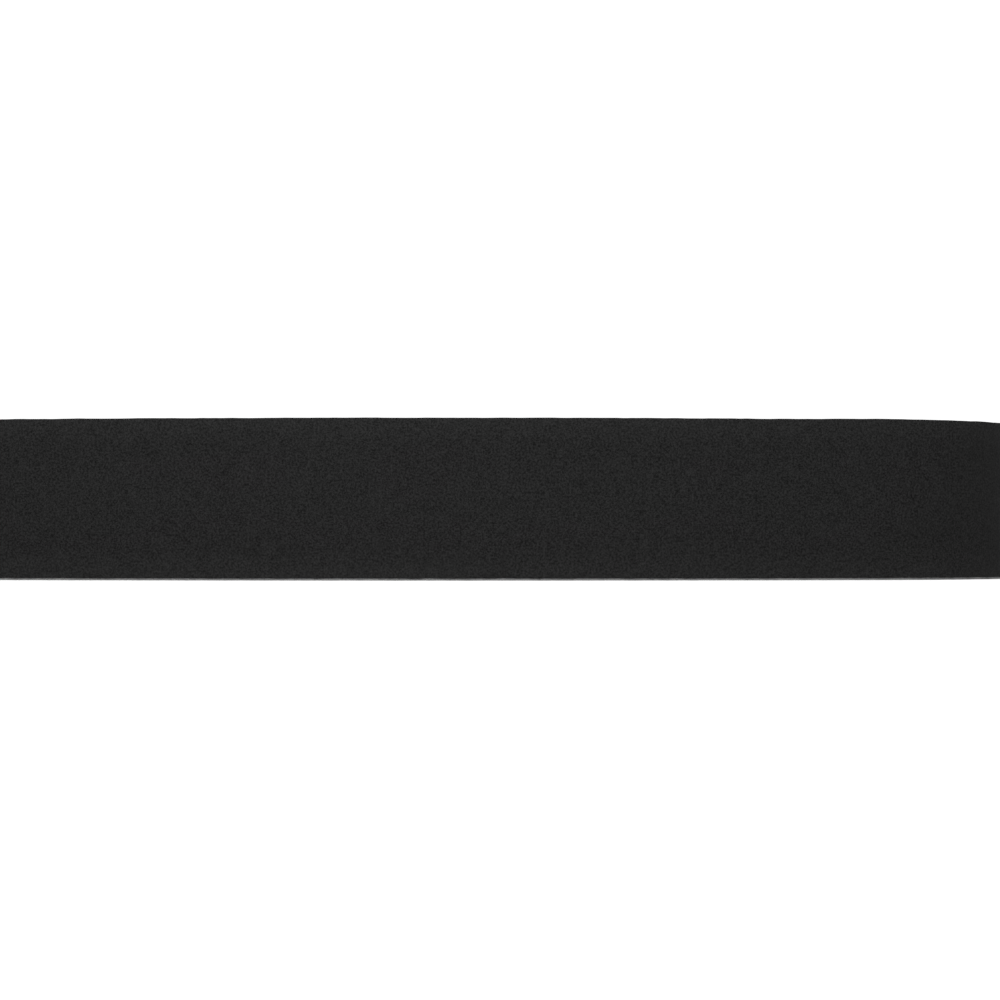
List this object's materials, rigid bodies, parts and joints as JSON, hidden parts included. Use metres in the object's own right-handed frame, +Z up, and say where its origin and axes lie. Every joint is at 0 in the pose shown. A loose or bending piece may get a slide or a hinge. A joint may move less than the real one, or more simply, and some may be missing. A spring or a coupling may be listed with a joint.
{
  "type": "grip tape roll",
  "caption": "Flat black racket grip tape wound face out on a paperboard core and partly unrolled, its free tail standing on its long edge in a shallow curl and ending in a slanting cut.",
  "frame": {"origin": "on the core's axis, at the lower end of its bore, level with the surface the roll lies on", "axes": "+Z up the core's axis; the tape leaves the roll at its front, on the -Y side, and the free tail runs from there towards -X, curling back towards +Y"},
  "size_m": [0.2588, 0.0862, 0.025],
  "materials": {
    "grip_face": "matte",
    "felt": "matte",
    "adhesive": "satin",
    "release_film": "satin",
    "paperboard": "matte",
    "pad_film": "satin",
    "finishing_vinyl": "satin"
  },
  "bodies": {
    "roll": {"core_tube": "paperboard", "core_pad": "pad_film", "wound_release_film": "release_film", "wound_adhesive": "adhesive", "wound_felt": "felt", "wound_face": "grip_face"},
    "tail": {"tail_release_film": "release_film", "tail_adhesive": "adhesive", "tail_felt": "felt", "tail_face": "grip_face", "finishing_tape": "finishing_vinyl"},
    "film_tab": {"release_film_tab": "release_film"}
  },
  "joints": [
    {"name": "tail_bend", "type": "hinge", "parent": "roll", "child": "tail", "pos_m": [0, -0.02905, 0], "axis": [0, 0, 1], "range_deg": [0, 75], "stiffness_Nm_per_rad": 0.004},
    {"name": "film_peel", "type": "hinge", "parent": "tail", "child": "film_tab", "pos_m": [-0.22148, 0.04956, 0], "axis": [0, 0, -1], "range_deg": [0, 150]}
  ]
}
